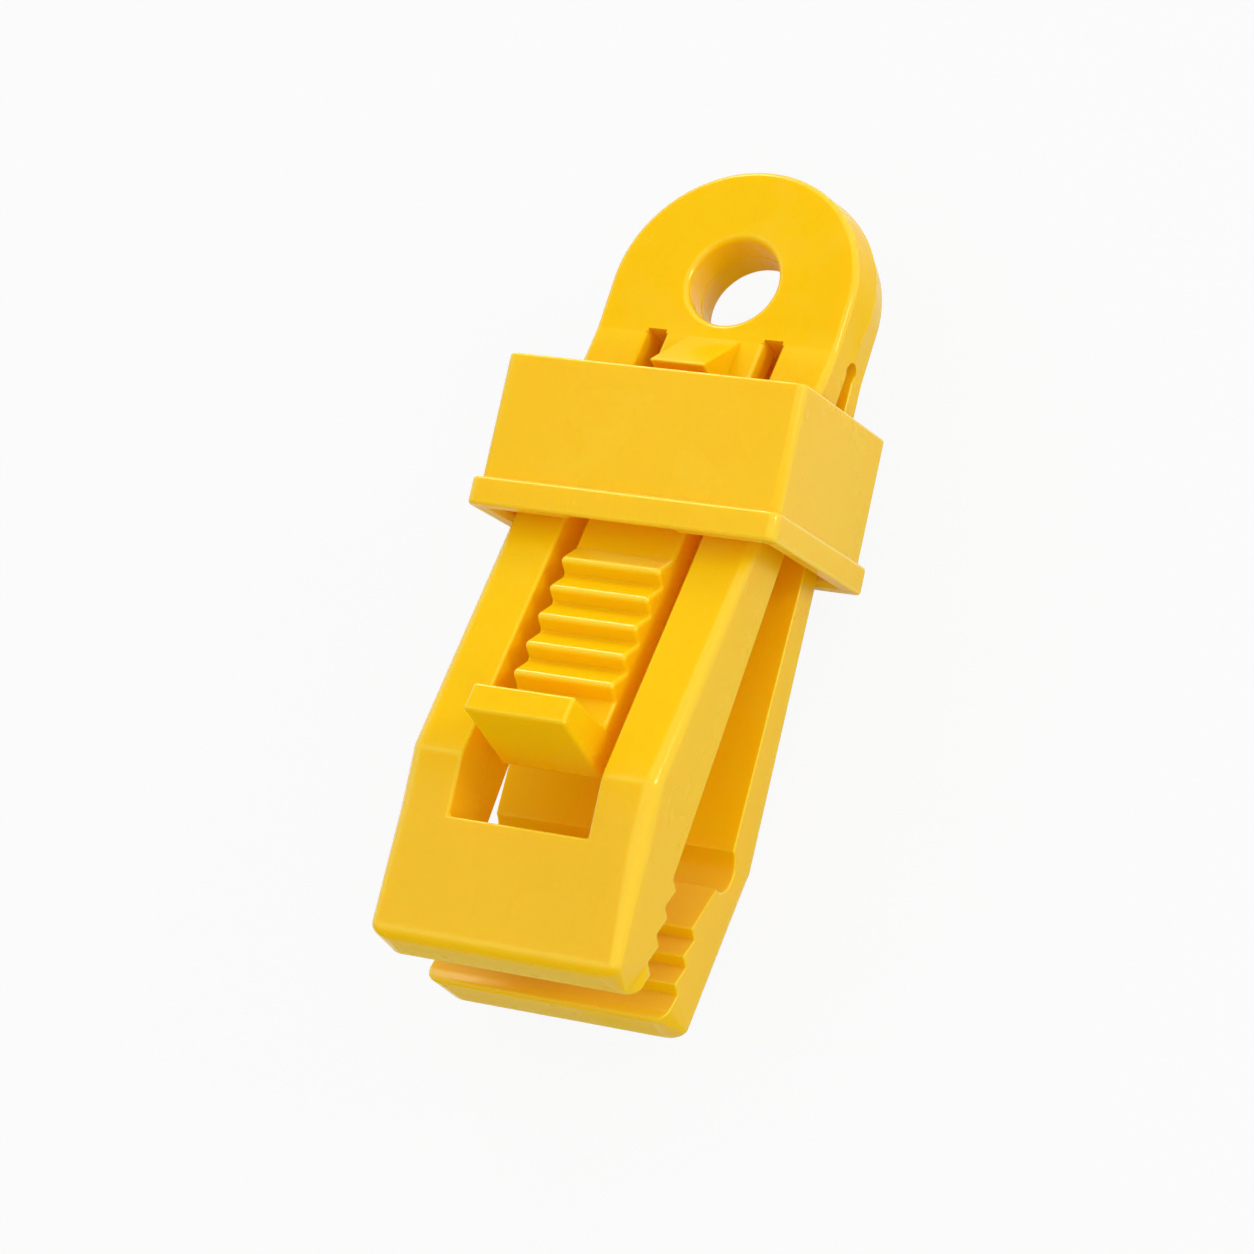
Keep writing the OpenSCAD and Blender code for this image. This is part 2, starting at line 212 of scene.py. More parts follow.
def union(loops):
    """One outline round several that share edges."""
    points = []
    for p in (q for loop in loops for q in loop):
        if all((p - q).length > TOL for q in points):
            points.append(p)

    def index(p):
        return min(range(len(points)), key=lambda i: (points[i] - p).length)

    sides = set()
    for a, b in (side for loop in loops for side in edges(loop)):
        length = (b - a).length
        on = [((b - a).dot(p - a) / length, i) for i, p in enumerate(points) if off_line(p, a, b) < TOL]
        chain = [index(a)] + [i for reach, i in sorted(on) if TOL < reach < length - TOL] + [index(b)]
        sides.update((s, e) for s, e in zip(chain, chain[1:]) if s != e)
    after = {s: e for s, e in sides if (e, s) not in sides}
    order = [min(after)]
    while after[order[-1]] != order[0]:
        order.append(after[order[-1]])
    return anticlockwise(simple([points[i] for i in order]))


def clip(loop, y, keep_below=True):
    """The part of an outline below (or above) a height y."""
    sign = 1 if keep_below else -1
    kept = []
    for a, b in edges(loop):
        da, db = sign * (y - a.x), sign * (y - b.x)
        if da >= 0:
            kept.append(a)
        if (da > TOL and db < -TOL) or (da < -TOL and db > TOL):
            kept.append(a.lerp(b, da / (da - db)))
    return simple(kept)


def outline(nodes, x):
    return union([max(section(n, x), key=area) for n in nodes])


# Sizes read from the frame

OFF_MIDDLE = 1 / 3          # share of a piece's half width where its middle is cut, clear of its seams
CLEAR_OF_RIM = 2            # roundings of the head's rim that a cut beside its wall keeps away
SLIT_BAND = 1 / 4           # share of the slit's half height in which the top of its end is looked for
CUTTER_LENGTH = 3           # length of the slit's cutter in half widths of the head

eyelet = next(m for m in frame["record"]["mounts"] if m["name"] == "eyelet")
hole_r = eyelet["dims"]["r_mm"] * MM
hole_y, mid_z = eyelet["pos_m"][1], eyelet["pos_m"][2]
head_low, head_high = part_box("eyelet_head")
half_w = head_high.x
half_t = (head_high.z - head_low.z) / 2
hole_rim = half_t - eyelet["dims"]["length_mm"] * MM / 2
arc_y = head_high.y - half_w
wedge_low, wedge_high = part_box("stop_wedge")
wedge_half = wedge_high.x
crease_y = wedge_high.y                     # the arms and the tongue leave the head here
split_y = wedge_low.y - ROOT_LENGTH         # the tongue's root ends here, inside the collar
tip_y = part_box("front_grip")[0].y
window_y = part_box("front_grip")[1].y
window_half = -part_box("front_left_rail")[1].x
tongue_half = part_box("ratchet_tongue")[1].x
rack_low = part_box("ratchet_rack")[0].y
knee_y = max((v.co for v in frame["nodes"]["front_left_rail"].data.vertices), key=lambda c: c.z).y
rail_x = (half_w + window_half) / 2
slot_x = (tongue_half + window_half) / 2

front_line = clip(outline(["front_right_rail", "front_grip"], rail_x), crease_y)
rear_line = clip(outline(["rear_arm", "rear_grip"], rail_x), crease_y)
tongue_nodes = ["ratchet_tongue", "ratchet_rack", "thumb_tab"]
tongue_line = clip(outline(tongue_nodes, tongue_half * OFF_MIDDLE), crease_y)
wedge_line = outline(["stop_wedge"], wedge_half * OFF_MIDDLE)

# Heights between which a rounding changes, from the upper one to the lower one
head_fade = crease_y - 1 * MM, crease_y - 7 * MM        # from the head's rims to the arms' edges
pad_fade = knee_y + 5 * MM, knee_y - 1 * MM             # from the arms' edges to the pads'
tip_fade = tip_y + 4 * MM, tip_y + 1.3 * MM             # from the pads' edges to the tips'
teeth_start = window_y + 1 * MM, window_y - 1 * MM      # from the arms' inner faces to the teeth
teeth_end = tip_y + 2 * MM, tip_y + 0.5 * MM            # from the teeth to the tips
tab_fade = rack_low - 1 * MM, rack_low - 3 * MM         # from the tongue's edges to the thumb tab's
crown_fade = crease_y + 6 * MM, crease_y + 0.5 * MM     # from the head's crowned wall to the arms' plain one

outer_edges = list(zip((*head_fade, *pad_fade, *tip_fade),
                       (HEAD_EDGE, ARM_EDGE, ARM_EDGE, PAD_EDGE, PAD_EDGE, TIP_EDGE)))
inner_edges = list(zip((*teeth_start, *teeth_end), (INNER_EDGE, TOOTH_EDGE, TOOTH_EDGE, INNER_EDGE)))
tongue_edges = list(zip(tab_fade, (TONGUE_EDGE, TAB_EDGE)))
crown_shares = list(zip(crown_fade, (1, 0)))
lean_shares = (crease_y, 0), (window_y, 1)


# Rounding of outlines

def rounded(loop, radius_at):
    """The outline with its corners turned into arcs. radius_at gives a corner's radius from its place
    and its turn in degrees, which is negative in a hollow."""
    out = []
    for a, b, c in corners(loop):
        u, w = (a - b).normalized(), (c - b).normalized()
        turn = pi - acos(max(-1, min(1, u.dot(w))))
        r = radius_at(b, degrees(turn) if (b - a).cross(c - b) > 0 else -degrees(turn))
        reach = min(r * tan(turn / 2), CORNER_ROOM * (a - b).length, CORNER_ROOM * (c - b).length)
        if reach < NO_ARC:
            out.append(b)
            continue
        r = reach / tan(turn / 2)
        centre = b + (u + w).normalized() * r / cos(turn / 2)
        v0, v1 = b + u * reach - centre, b + w * reach - centre
        steps = max(2, round(degrees(turn) / ARC_STEP))
        out += [centre + (v0 * sin(turn * (1 - s / steps)) + v1 * sin(turn * s / steps)) / sin(turn)
                for s in range(steps + 1)]
    return out


def denser(loop, step, low):
    """The outline with its edges above height low cut into pieces no longer than step."""
    out = []
    for a, b in edges(loop):
        n = max(1, ceil((b - a).length / step - SLACK)) if min(a.x, b.x) >= low else 1
        out += [a.lerp(b, k / n) for k in range(n)]
    return out


def end_edge(line):
    """The edge of a jaw's outline that closes its lower end."""
    return min(edges(line), key=lambda e: e[0].x + e[1].x)


def finer_end(loop, line):
    """The outline with points added on its straight edges over the height of the jaw's rounded corners."""
    a, b = end_edge(line)
    depths = [TIP_CORNER * (1 - cos(pi / 2 * k / TURNS)) for k in range(1, TURNS + 1)]
    out = []
    for p, q in edges(loop):
        dp, dq = off_line(p, a, b), off_line(q, a, b)
        passed = [d for d in depths if min(dp, dq) + TOL < d < max(dp, dq) - TOL]
        shares = [(d - dp) / (dq - dp) for d in passed if (q - p).length > STRAIGHT]
        out += [p] + [p.lerp(q, s) for s in sorted(shares)]
    return out


def round_tip(obj, line):
    """Rounds the two corners of a jaw's end, seen from the front."""
    a, b = end_edge(line)
    for v in obj.data.vertices:
        left = max(0, TIP_CORNER - off_line(Vector(v.co.yz), a, b))
        v.co.x *= 1 - (TIP_CORNER - sqrt(TIP_CORNER ** 2 - left ** 2)) / half_w
    return obj


def insets(loop, cut_heights):
    """For each point, the way inwards that keeps unit distance from both edges; along the cut at a cut."""
    ways = []

    def is_cut(a, b):
        return any(abs(a.x - y) < TOL and abs(b.x - y) < TOL for y in cut_heights)

    for a, p, c in corners(loop):
        d0, d1 = (p - a).normalized(), (c - p).normalized()
        n0, n1 = Vector((-d0.y, d0.x)), Vector((-d1.y, d1.x))
        cut0, cut1 = is_cut(a, p), is_cut(p, c)
        if cut0 and cut1:
            ways.append(Vector((0, 0)))
        elif cut0:
            ways.append(-d0 / max(CUT_MITRE, (-d0).dot(n1)))
        elif cut1:
            ways.append(d1 / max(CUT_MITRE, d1.dot(n0)))
        else:
            ways.append((n0 + n1) / max(MITRE, 1 + n0.dot(n1)))
    return ways


def fitted(loop, radii):
    """The radii, held below the radius of each rounded corner that bulges outwards."""
    out = []
    for (a, p, c), r in zip(corners(loop), radii):
        turn = (p - a).normalized().cross((c - p).normalized())
        bend = min((p - a).length, (c - p).length) / turn if turn > SLIGHT_TURN else inf
        out.append(min(r, ROUND_SHARE * bend))
    return out


def ramp(value, *stops):
    """Piecewise line through (value, result) stops given in falling order of value."""
    if value >= stops[0][0]:
        return stops[0][1]
    for (v0, r0), (v1, r1) in zip(stops, stops[1:]):
        if value >= v1:
            return r1 + (r0 - r1) * (value - v1) / (v0 - v1)
    return stops[-1][1]


# Building blocks

def flat_faces(bm):
    """Cuts each face of many corners into triangles that keep inside it; they lead the shading there."""
    lead = bm.faces.layers.int.get(FACE_LEAD) or bm.faces.layers.int.new(FACE_LEAD)
    bm.normal_update()
    for face in [f for f in bm.faces if len(f.verts) > 4]:
        ring, normal = list(face.verts), face.normal.copy()
        a = normal.orthogonal().normalized()
        b = normal.cross(a)
        middle = face.calc_center_median()
        flat = [Vector(((v.co - middle).dot(a), (v.co - middle).dot(b))) / MM for v in ring]
        border = list(range(len(ring)))
        points, _, cuts, origin, _, _ = delaunay_2d_cdt(flat, [], [border], CUT_INSIDE, CUT_TOL)
        made = [ring[o[0]] if o else bm.verts.new(middle + (a * p.x + b * p.y) * MM)
                for p, o in zip(points, origin)]
        bm.faces.remove(face)
        for cut in cuts:
            triangle = [made[i] for i in cut]
            if len(set(triangle)) == 3 and not bm.faces.get(triangle):
                bm.faces.new(triangle)[lead] = LEADS
    bmesh.ops.recalc_face_normals(bm, faces=bm.faces)


def fill_mesh(mesh, bm):
    """Puts a bmesh, which is used up, into a mesh with smooth shading and corners kept sharp."""
    flat_faces(bm)
    bm.to_mesh(mesh)
    bm.free()
    for p in mesh.polygons:
        p.use_smooth = True
    mesh.set_sharp_from_angle(angle=SHARP)


def placed(name, data):
    """A new object in the scene."""
    obj = bpy.data.objects.new(name, data)
    bpy.context.scene.collection.objects.link(obj)
    return obj


def new_object(name, bm):
    """A new object from a bmesh, which is used up."""
    mesh = bpy.data.meshes.new(name)
    fill_mesh(mesh, bm)
    return placed(name, mesh)


def combine(obj, shape, operation):
    """Takes the shape in a bmesh away from the object, or joins it on."""
    other = new_object("other", shape)
    mod = obj.modifiers.new("combine", "BOOLEAN")
    mod.operation, mod.solver, mod.object = operation, "EXACT", other
    graph = bpy.context.evaluated_depsgraph_get()
    mesh = bpy.data.meshes.new_from_object(obj.evaluated_get(graph))
    obj.modifiers.clear()
    obj.data = mesh
    bpy.data.objects.remove(other)
    bm = bmesh.new()
    bm.from_mesh(mesh)
    fill_mesh(mesh, bm)


def even_normals(obj):
    """Flat faces stay flat beside their rounded edges."""
    mod = obj.modifiers.new("normals", "WEIGHTED_NORMAL")
    mod.keep_sharp = True
    mod.use_face_influence = True
    mod.weight = NORMAL_WEIGHT


def mark_edges(obj):
    """Marks the vertices inside rounded outer edges, where the material paints a highlight into the colour,
    since these edges catch more light than the flat faces.
    """
    bm = bmesh.new()
    bm.from_mesh(obj.data)
    bm.normal_update()
    lead = bm.faces.layers.int.get(FACE_LEAD)
    share = bm.verts.layers.float.new(EDGE_SHARE)

    def flat(face):
        return face[lead] == LEADS or face.calc_area() > STRIP * max(e.calc_length() for e in face.edges)

    flats = {f: flat(f) for f in bm.faces}
    for v in bm.verts:
        bulge = sum((v.co - e.other_vert(v).co).normalized().dot(v.normal) for e in v.link_edges)
        v[share] = float(bulge > BULGE and not any(flats[f] for f in v.link_faces))
    bm.to_mesh(obj.data)
    bm.free()


def tube(bm, rings, skip=None):
    """Quads between rings of equal length; skip(k, i) leaves one out. Returns the rings' vertices."""
    verts = [[bm.verts.new(p) for p in ring] for ring in rings]
    n = len(rings[0])
    for k in range(len(rings) - 1):
        for i in range(n):
            j = (i + 1) % n
            if not (skip and skip(k, i)):
                bm.faces.new((verts[k][i], verts[k][j], verts[k + 1][j], verts[k + 1][i]))
    return verts


def closed_tube(bm, rings, skip=None):
    """A tube with a face on its first and last ring."""
    verts = tube(bm, rings, skip)
    bm.faces.new(verts[0])
    bm.faces.new(verts[-1])
    return verts


def side_rings(loop, half, radii, cut_heights):
    """Rings for a solid's left and right side, at X = -half and half, from left to right. The side
    edges are rounded by radii, but not along cuts."""
    ways, radii = insets(loop, cut_heights), fitted(loop, radii)
    left, right = [], []
    for t in (pi / 2 * k / TURNS for k in range(TURNS + 1)):
        for side, rings in ((-1, left), (1, right)):
            rings.append([(side * half - side * r * (1 - sin(t)), *(p + w * r * (1 - cos(t))))
                          for p, w, r in zip(loop, ways, radii)])
    return left[::-1], right


def slab(bm, loop, half, radii, cut_heights=()):
    """Solid with this outline, from X = -half to half, its side edges rounded by radii."""
    left, right = side_rings(loop, half, radii, cut_heights)
    closed_tube(bm, left + right)


# Jaws

def jaw_radii(loop, sign):
    """Side roundings round a jaw's outline: broad on the outer face, fine on the inner one."""
    radii = []
    for p in loop:
        zs = [a.y + (b.y - a.y) * (p.x - a.x) / (b.x - a.x) for a, b in edges(loop)
              if abs(b.x - a.x) > TOL and min(a.x, b.x) - TOL <= p.x <= max(a.x, b.x) + TOL]
        middle, depth = (max(zs) + min(zs)) / 2, (max(zs) - min(zs)) / 2
        place = max(-1, min(1, sign * (p.y - middle) / max(depth, TOL)))
        inner, outer = ramp(p.x, *inner_edges), ramp(p.x, *outer_edges)
        radii.append(inner + (outer - inner) * ramp(place, *ACROSS))
    return radii


def jaw_corner(p, turn):
    """Radius of a jaw's corner in side view."""
    if abs(turn) < LEAST_TURN or abs(p.x - crease_y) < TOL:
        return 0
    return KNEE if abs(p.x - knee_y) < KNEE_NEAR and abs(turn) < KNEE_TURN else TOOTH_TIP


def with_window_corner(loop):
    """The front jaw's outline with a point on its outer face where the window's lower edge is."""
    corner = max((p for p in clip(front_line, window_y) if abs(p.x - window_y) < TOL), key=lambda p: p.y)
    passing = [i for i in range(len(loop))
               if min(loop[i - 1].x, loop[i].x) < window_y < max(loop[i - 1].x, loop[i].x)]
    at = min(passing, key=lambda i: off_line(corner, loop[i - 1], loop[i]))
    return loop[:at] + [corner] + loop[at:]


def front_jaw():
    """Front jaw: two rails, the pad with its teeth, and the window between the rails."""
    loop = denser(with_window_corner(rounded(front_line, jaw_corner)), BEND_STEP, crease_y - ARM_FINE)
    loop = finer_end(loop, front_line)
    n = len(loop)
    inside = [p.x > window_y - TOL for p in loop]
    left, right = side_rings(loop, half_w, jaw_radii(loop, 1), (crease_y,))
    walls = [[(x, *p) for p in loop] for x in (-window_half, window_half)]
    gap = len(left)
    bm = bmesh.new()
    verts = closed_tube(bm, left + walls + right,
                        lambda k, i: k == gap and inside[i] and inside[(i + 1) % n])
    first = next(i for i in range(n) if inside[i] and not inside[i - 1])
    run = [(first + k) % n for k in range(sum(inside))]
    left_wall, right_wall = ([verts[k][i] for i in run] for k in (gap, gap + 1))
    bm.faces.new(left_wall)
    bm.faces.new(right_wall)
    bm.faces.new((left_wall[0], right_wall[0], right_wall[-1], left_wall[-1]))
    bmesh.ops.recalc_face_normals(bm, faces=bm.faces)
    rim = {*left_wall, *right_wall}
    top = {v for v in rim if abs(v.co.y - crease_y) < TOL}
    bevel = [e for e in bm.edges if rim.issuperset(e.verts) and not top.issuperset(e.verts)]
    bmesh.ops.bevel(bm, geom=bevel, offset=WINDOW_EDGE, segments=WINDOW_TURNS, profile=ROUND_PROFILE,
                    affect="EDGES", offset_type="OFFSET", clamp_overlap=False)
    return round_tip(new_object("front_jaw", bm), front_line)


def rear_jaw():
    """Rear jaw: plain arm, groove and teeth."""
    loop = denser(rounded(rear_line, jaw_corner), BEND_STEP, crease_y - ARM_FINE)
    loop = finer_end(loop, rear_line)
    bm = bmesh.new()
    slab(bm, loop, half_w, jaw_radii(loop, -1), (crease_y,))
    for v in bm.verts:
        if v.co.x < 0:
            v.co.x *= 1 - ramp(v.co.y, *lean_shares) * REAR_LEAN / half_w
    return round_tip(new_object("rear_jaw", bm), rear_line)


# Tongue

def tongue_corner(p, turn):
    """Radius of the tongue's corner in side view."""
    if abs(turn) < LEAST_TURN or abs(p.x - crease_y) < TOL or abs(p.x - split_y) < TOL:
        return 0
    if p.x < tab_fade[0]:
        return TAB_EDGE
    return RACK_TIP if turn > 0 else RACK_ROOT


def tongue():
    """Tongue below its root, with the ratchet teeth and the thumb tab."""
    loop = denser(rounded(clip(tongue_line, split_y), tongue_corner), BEND_STEP, split_y - TONGUE_FINE)
    bm = bmesh.new()
    slab(bm, loop, tongue_half, [ramp(p.x, *tongue_edges) for p in loop], (split_y,))
    return new_object("ratchet_strip", bm)


def tongue_root():
    """Root of the tongue with the wedge on it."""
    loop = rounded(clip(tongue_line, split_y, keep_below=False), tongue_corner)
    loop = denser(loop, ROOT_STEP, split_y - TOL)
    bm = bmesh.new()
    slab(bm, loop, tongue_half, [TONGUE_EDGE] * len(loop), (split_y, crease_y))
    obj = new_object("tongue_root", bm)
    crest = max(wedge_line, key=lambda p: p.y)
    deep = [p if p is crest else p + (p - crest).normalized() * WEDGE_SUNK for p in wedge_line]
    deep = rounded(deep, lambda p, turn: WEDGE_EDGE)
    wedge = bmesh.new()
    slab(wedge, deep, wedge_half, [WEDGE_EDGE] * len(deep))
    combine(obj, wedge, "UNION")
    return obj


# Head

def across_head(rim):
    """Steps (depth of the rim, share of the crown, ridge, z) across a wall from the rear face to the front:
    a rounded rim, the wall with the parting ridge in its middle, and the other rim."""
    turns = [pi / 2 * k / TURNS for k in range(TURNS + 1)]
    edge = [(rim * (1 - cos(t)), 0, 0, half_t - rim * (1 - sin(t))) for t in turns]
    rear = [(*step[:3], mid_z - step[3]) for step in edge[::-1]]
    front = [(*step[:3], mid_z + step[3]) for step in edge]
    return rear + [(0, 1, 0, mid_z - RIDGE), (0, 1, RIDGE, mid_z), (0, 1, 0, mid_z + RIDGE)] + front


def head_rings():
    """Rings of the head's outer wall, each from the right end of the crease round to the left one."""
    angles = [pi * k / HEAD_STEPS for k in range(HEAD_STEPS + 1)]
    arc = [Vector((half_w * cos(a), arc_y + half_w * sin(a))) for a in angles]
    loop = [Vector((half_w, crease_y))] + arc + [Vector((-half_w, crease_y))]
    turned = [Vector((p.y, -p.x)) for p in loop]
    ways = [Vector((-w.y, w.x)) for w in insets(turned, (crease_y,))]
    crowns = [min(CROWN, half_w - max(0, p.y - arc_y)) * ramp(p.y, *crown_shares) for p in loop]
    return [[(*(p + w * (depth - share * max(0, c - RIDGE) - min(ridge, c))), z)
             for p, w, c in zip(loop, ways, crowns)]
            for depth, share, ridge, z in across_head(HEAD_EDGE)]


def eyelet_rings():
    """Rings of the eyelet's wall."""
    angles = [2 * pi * k / HOLE_STEPS for k in range(HOLE_STEPS)]
    rings = []
    for depth, share, ridge, z in across_head(hole_rim):
        r = hole_r + depth + share * RIDGE - ridge + HOLE_DRAFT * max(0, mid_z - z) / half_t
        rings.append([(r * cos(a), hole_y + r * sin(a), z) for a in angles])
    return rings


def head():
    """Head with the eyelet, and the ends of the slit and the slots that reach into it."""
    bm = bmesh.new()
    lead = bm.faces.layers.int.new(FACE_LEAD)
    outer, hole = tube(bm, head_rings()), tube(bm, eyelet_rings())
    hole_wall = {v for ring in hole[TURNS:-TURNS] for v in ring}
    for face in bm.faces:
        if hole_wall.issuperset(face.verts):
            face[lead] = LEADS
    for k in (0, -1):
        rims = [bm.edges.get(pair) for ring in (outer[k], hole[k]) for pair in edges(ring)]
        for made in bmesh.ops.triangle_fill(bm, use_beauty=True, edges=rims)["geom"]:
            if isinstance(made, bmesh.types.BMFace):
                made[lead] = LEADS
    obj = new_object("eyelet_head_skin", bm)
    for hollow in (slit_end(), slot_end(-1), slot_end(1)):
        combine(obj, hollow, "DIFFERENCE")
    return obj


def slit_end():
    """Round end of the slit between the arms, from side to side of the head."""
    front_z = min(p.y for p in front_line if abs(p.x - crease_y) < TOL)
    rear_z = max(p.y for p in rear_line if abs(p.x - crease_y) < TOL)
    centre_z, chord = (front_z + rear_z) / 2, (front_z - rear_z) / 2
    top = max(p.x for loop in section("eyelet_head", half_w - CLEAR_OF_RIM * HEAD_EDGE) for p in loop
              if abs(p.y - centre_z) < chord * SLIT_BAND and p.x < hole_y)
    rise = top - crease_y
    r = (chord * chord + rise * rise) / (2 * rise)
    lying = Matrix.Translation((0, top - r, centre_z)) @ Matrix.Rotation(pi / 2, 4, "Y")
    bm = bmesh.new()
    bmesh.ops.create_cone(bm, cap_ends=True, segments=SLIT_STEPS, radius1=r, radius2=r,
                          depth=CUTTER_LENGTH * half_w, matrix=lying)
    return bm


def slot_end(side):
    """Top end of the slot on one side of the tongue, where it reaches into the head."""
    front_z = mid_z + half_t
    top = min(p.x for loop in section("eyelet_head", slot_x) for p in loop if abs(p.y - front_z) < TOL)
    low = Vector((min(side * tongue_half, side * window_half), 2 * crease_y - top, mid_z))
    high = Vector((max(side * tongue_half, side * window_half), top, front_z + half_t))
    stretched = Matrix.Translation((low + high) / 2) @ Matrix.Diagonal((*(high - low), 1))
    bm = bmesh.new()
    bmesh.ops.create_cube(bm, size=1, matrix=stretched)
    return bm


# Collar, measured out from the inner face of its front wall and up along that wall

def mean_z(loop):
    return sum(p.y for p in loop) / len(loop)


def collar_walls(nodes, x):
    """Outlines of the collar's front and rear walls where the plane X = x cuts these nodes."""
    loops = [loop for n in nodes for loop in section(n, x)]
    middle = mean_z([p for loop in loops for p in loop])
    front = [loop for loop in loops if mean_z(loop) > middle]
    rear = [loop for loop in loops if mean_z(loop) <= middle]
    return union(front), union(rear)


NEAR_TOP = 1.0 * MM         # the rear wall's inner face is read this near to its top
TOP_RIM = 0.5 * MM          # corners this near to the collar's top belong to its upper rims

sleeve_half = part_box("collar_sleeve")[1].x
flange_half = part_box("collar_flange")[1].x
channel_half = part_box("collar_pawl")[1].x
plain_x = (channel_half + sleeve_half) / 2
collar_nodes = ["collar_sleeve", "collar_flange"]
wall_line, rear_wall_line = collar_walls(collar_nodes, plain_x)
channel_line = collar_walls(collar_nodes + ["collar_pawl"], channel_half * OFF_MIDDLE)[0]
sleeve_line = max(section("collar_sleeve", plain_x), key=mean_z)
wall_foot, wall_head = sorted(max(edges(sleeve_line), key=lambda e: (e[1] - e[0]).length), key=lambda p: p.x)
wall_up = (wall_head - wall_foot).normalized()
wall_out = Vector((-wall_up.y, wall_up.x))
wall_inside = min(p.dot(wall_out) for p in sleeve_line)
wall_thick = max(p.dot(wall_out) for p in sleeve_line) - wall_inside
wall_top = max(p.dot(wall_up) for p in wall_line)
rear_top = max(p.dot(wall_up) for p in rear_wall_line)
rear_inside = max(p.dot(wall_out) for p in rear_wall_line if p.dot(wall_up) > rear_top - NEAR_TOP)
half_depth, middle_depth = (wall_inside - rear_inside) / 2, (wall_inside + rear_inside) / 2
flange_out = max(p.dot(wall_out) for p in wall_line) - wall_inside - wall_thick
flange_share = (flange_half - sleeve_half) / flange_out     # its width at the sides by that in front


def collar_corner(p, turn):
    """Radius of a corner of the collar's wall in side view."""
    if abs(turn) < LEAST_TURN:
        return 0
    return COLLAR_TOP if p.dot(wall_up) > wall_top - TOP_RIM else FLANGE_EDGE


def wall_profile(line):
    """A wall's outline as (distance out from the inner face, height)."""
    return [(p.dot(wall_out) - wall_inside, p.dot(wall_up)) for p in rounded(line, collar_corner)]


def collar_point(x, depth, height):
    return (x, *(wall_up * height + wall_out * (middle_depth + depth)))


def front_ring(profile, x):
    """The front wall's profile at x."""
    return [collar_point(x, half_depth + d, height) for d, height in profile]


def corner_ring(profile, side, face, turn):
    """The wall's profile at an angle round a corner, from the side (0) to the front or rear (pi / 2)."""
    ring = []
    outer_r = COLLAR_FRONT if face > 0 else COLLAR_REAR
    for d, height in profile:
        aside = min(d, wall_thick) + max(0, d - wall_thick) * flange_share
        r = COLLAR_INSIDE + (outer_r - COLLAR_INSIDE) * max(0, min(1, d / wall_thick))
        ring.append(collar_point(side * (sleeve_half - wall_thick + aside - r + r * cos(turn)),
                                 face * (half_depth + d - r + r * sin(turn)), height))
    return ring


def collar():
    """Collar: four walls with a flange round the lower edge and the ratchet's channel in the front wall."""
    plain, grooved = wall_profile(wall_line), wall_profile(channel_line)
    turns = [pi / 2 * k / COLLAR_TURNS for k in range(COLLAR_TURNS + 1)]
    back = turns[::-1]
    rings = [front_ring(plain, channel_half)]
    for side, face, order in ((1, 1, back), (1, -1, turns), (-1, -1, back), (-1, 1, turns)):
        rings += [corner_ring(plain, side, face, t) for t in order]
    rings.append(front_ring(plain, -channel_half))
    bm = bmesh.new()
    closed_tube(bm, rings)
    obj = new_object("collar_skin", bm)
    middle = bmesh.new()
    closed_tube(middle, [front_ring(grooved, x) for x in (-channel_half, channel_half)])
    combine(obj, middle, "UNION")
    return obj


# Pieces and what they ride on

pieces = {
    "head": head(), "front": front_jaw(), "rear": rear_jaw(), "root": tongue_root(), "tongue": tongue(),
    "collar": collar(),
}
for obj in pieces.values():
    mark_edges(obj)
    even_normals(obj)

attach(pieces["head"], "head")
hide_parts("eyelet_head")
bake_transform(pieces["front"])
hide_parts("front_left_rail", "front_right_rail", "front_grip")
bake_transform(pieces["rear"])
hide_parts("rear_arm", "rear_grip")
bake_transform(pieces["root"])
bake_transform(pieces["tongue"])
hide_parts("ratchet_tongue", "ratchet_rack", "thumb_tab", "stop_wedge")
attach(pieces["collar"], "collar")
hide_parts("collar_sleeve", "collar_flange", "collar_pawl")


# Tints of the plastic
YELLOW, AMBER = (0.94, 0.575, 0.003), (0.935, 0.558, 0.003)                 # the body's, mixed as it flowed
COLLAR_YELLOW, COLLAR_AMBER = (0.93, 0.59, 0.026), (0.925, 0.572, 0.02)     # the collar's
PALE = 0.94, 0.63, 0.045        # hazy patches and scratches
DULL = 0.88, 0.55, 0.045        # the handled end
EDGE_HIGHLIGHT_PAINT = 1.0, 0.655, 0.012      # painted highlight on rounded edges
SPECK = 0.5, 0.16, 0.003        # dark specks
GLINT, EDGE_GLINT = (1, 0.8, 0.15), (1, 0.93, 0.55)     # reflections on flat faces and on rounded edges

# Patterns in the plastic, with clouds to the metre as scale
FLOW = {"scale": 75, "detail": 4, "rough": 0.55, "turned": (0.2, 0.1, 0.4), "stretched": (1, 0.45, 1)}
MIST = {"scale": 130, "detail": 5, "rough": 0.6}
PATCHES = {"scale": 38, "detail": 2}
WORN = {"scale": 95}
SCRATCH = {"scale": 420, "detail": 2, "stretched": (1, 0.035, 1)}
PEEL = {"scale": 900, "detail": 2}
SINK = {"scale": 110, "detail": 2}
SCRATCH_TURNS = (0, 0, 0.5), (0.3, 0, -0.9)
SPECK_CELLS = 170.0

# Values between which a pattern fades in
FLOW_FADE, MIST_FADE, PATCH_FADE, WORN_FADE = (0.3, 0.7), (0.5, 0.72), (0.42, 0.62), (0.56, 0.68)
SCRATCH_FADE = 0.0, 0.012       # half width of a scratch
SPECK_FADE = 0.035, 0.055       # radius of a speck
RARE_FADE = 0.94, 0.95          # cells with a higher value have a speck
UPPER_FADE = -0.7, -0.1         # a face's lean towards the head; lower values look down the clip
LEVEL_FADE = 0.6, 0.9           # lean towards the front or rear, where scratches show
SIDE_FADE = 0.3, 0.9            # lean towards a side, which is handled less
SEAM_FADE = 0.3 * MM, 2.4 * MM  # distance from where two pieces meet

